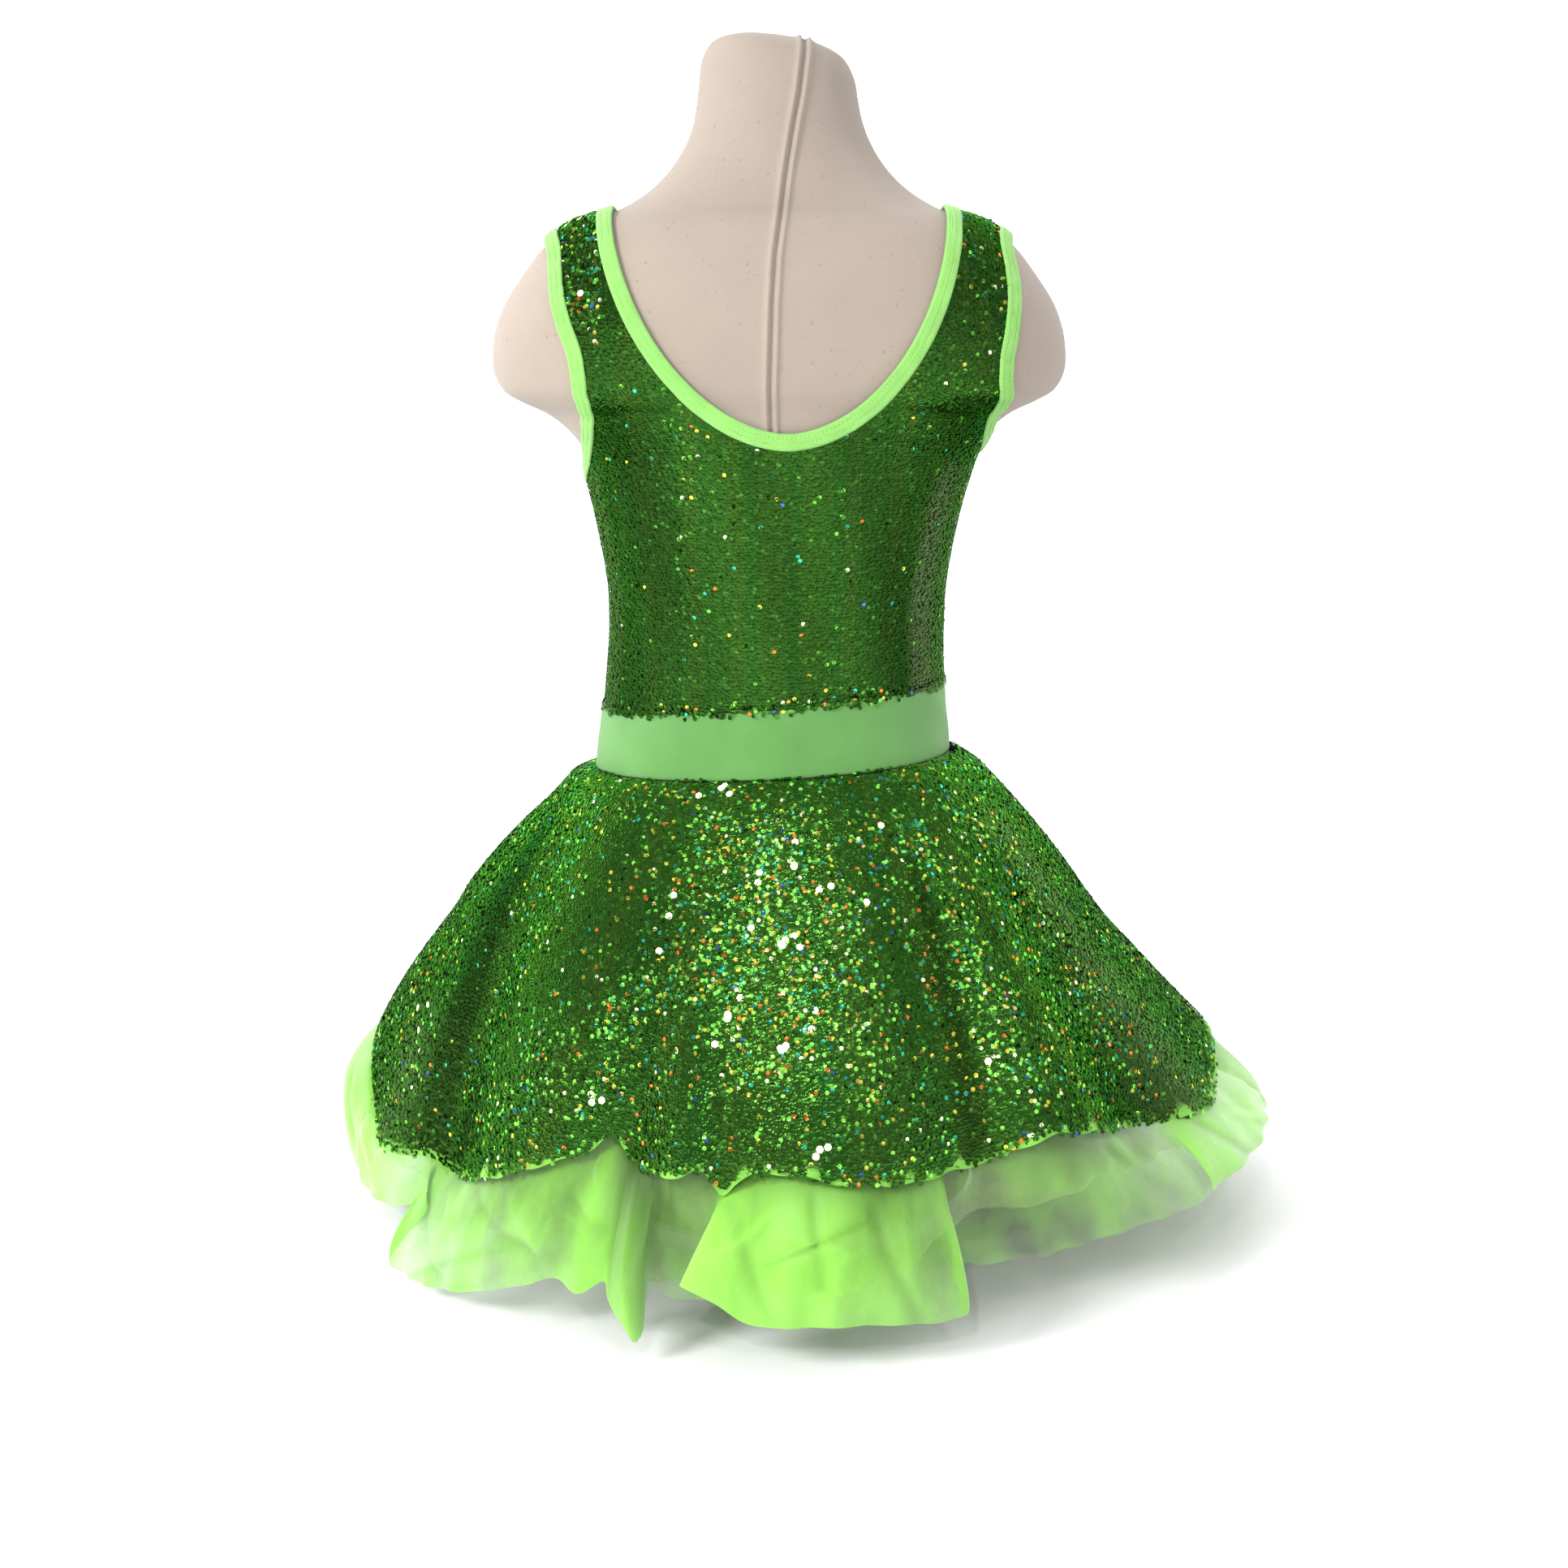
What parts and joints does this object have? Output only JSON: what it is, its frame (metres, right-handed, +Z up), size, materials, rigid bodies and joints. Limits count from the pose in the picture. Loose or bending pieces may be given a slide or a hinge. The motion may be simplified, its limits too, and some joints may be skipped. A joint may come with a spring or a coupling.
{
  "type": "skirted sequin leotard on dress form",
  "caption": "sleeveless child's dance leotard in green sequin cloth with a deep scoop back, circle skirt and lime organza petticoat, worn by a limbless dress form on a stand",
  "frame": {"origin": "middle of the underside of the stand's round base, on the surface it stands on", "axes": "+Z up, +X towards the garment's right-hand side as worn, -Y towards the garment's back"},
  "size_m": [0.5299, 0.5029, 0.6673],
  "materials": {
    "sequin_cloth": "overlapping green holographic sequins on lime cloth",
    "lime_binding": "smooth fold-over elastic tape",
    "lime_band": "smooth stretch cloth",
    "lime_organza": "sheer organza",
    "lime_lining": "matt stretch cloth",
    "form_jersey": "cream jersey cover",
    "white_metal": "satin white paint"
  },
  "bodies": {
    "root": {"bodice_back": "sequin_cloth", "bodice_front": "sequin_cloth", "skirt_back": "sequin_cloth", "skirt_front": "sequin_cloth", "neck_binding": "lime_binding", "armhole_binding_left": "lime_binding", "armhole_binding_right": "lime_binding", "waistband": "lime_band", "petticoat_outer_back": "lime_organza", "petticoat_outer_front": "lime_organza", "petticoat_inner_back": "lime_organza", "petticoat_inner_front": "lime_organza", "brief_back": "lime_lining", "brief_front": "lime_lining", "form_torso": "form_jersey", "stand_base": "white_metal", "stand_rod_left": "white_metal", "stand_rod_right": "white_metal"}
  },
  "joints": []
}
